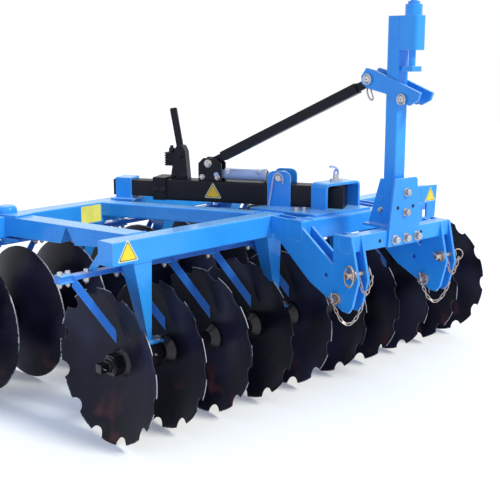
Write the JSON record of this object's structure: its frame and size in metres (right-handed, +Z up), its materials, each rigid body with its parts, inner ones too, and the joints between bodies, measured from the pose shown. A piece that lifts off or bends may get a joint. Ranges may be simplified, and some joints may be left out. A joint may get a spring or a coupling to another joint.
{
  "type": "mounted offset disc harrow",
  "caption": "Three-point mounted offset disc harrow: notched front gang, plain rear gang, adjustable gang angle, stowed screw jack on the hitch mast.",
  "frame": {"origin": "bottom centre of the bounding box, on the ground under the discs", "axes": "+Z up, -Y the direction of travel with the hitch in front, +X towards the side away from the pivot arm"},
  "size_m": [3.1108, 2.1251, 1.9426],
  "materials": {
    "blue_paint": "glossy blue machine paint",
    "black_paint": "semi-gloss black paint",
    "slide_steel": "black paint worn by sliding",
    "disc_steel": "glossy black coating on hardened steel, bare at the ground edge",
    "gang_iron": "black enamel on castings",
    "zinc_steel": "zinc plated with brown tint",
    "cylinder_grey": "light grey enamel"
  },
  "bodies": {
    "frame": {"arm_fork": "blue_paint", "arm_pivot_pin": "blue_paint", "brace": "black_paint", "brace_bracket": "black_paint", "cylinder_barrel": "cylinder_grey", "cylinder_lugs": "blue_paint", "cylinder_rod": "zinc_steel", "deck": "blue_paint", "far_hitch_bracket": "blue_paint", "frame_pins": "zinc_steel", "front_beam": "blue_paint", "front_bearings": "black_paint", "front_hangers": "blue_paint", "front_rail_brackets": "blue_paint", "front_saddle": "blue_paint", "front_scraper_rail": "blue_paint", "front_scrapers": "blue_paint", "hand_lever": "black_paint", "hitch_cross_beam": "blue_paint", "hitch_member": "blue_paint", "hitch_pins": "zinc_steel", "inner_slide": "slide_steel", "jack_casing": "blue_paint", "jack_screw": "blue_paint", "lever_bracket": "black_paint", "link_plates": "blue_paint", "mast": "blue_paint", "mast_base": "blue_paint", "mast_foot_plate": "blue_paint", "near_hitch_bracket": "blue_paint", "outer_slide": "black_paint", "rear_beam": "blue_paint", "rear_bearings": "black_paint", "rear_hangers": "blue_paint", "rear_rail_brackets": "blue_paint", "rear_saddle": "blue_paint", "rear_scraper_rail": "blue_paint", "rear_scrapers": "blue_paint", "side_arm": "blue_paint", "sign_plate": "blue_paint", "slide_collar": "black_paint", "tie_tube": "blue_paint"},
    "front_gang": {"front_axle": "gang_iron", "front_spools": "gang_iron", "front_discs": "disc_steel"},
    "rear_gang": {"rear_axle": "gang_iron", "rear_spools": "gang_iron", "rear_discs": "disc_steel"}
  },
  "joints": [
    {"name": "front_gang_spin", "type": "hinge", "parent": "frame", "child": "front_gang", "pos_m": [-0.88213, -0.46168, 0.33], "axis": [0.9968, 0.0802, 0], "continuous": true},
    {"name": "rear_gang_spin", "type": "hinge", "parent": "frame", "child": "rear_gang", "pos_m": [-1.43213, 0.42132, 0.33], "axis": [0.9914, 0.1305, 0], "continuous": true}
  ]
}
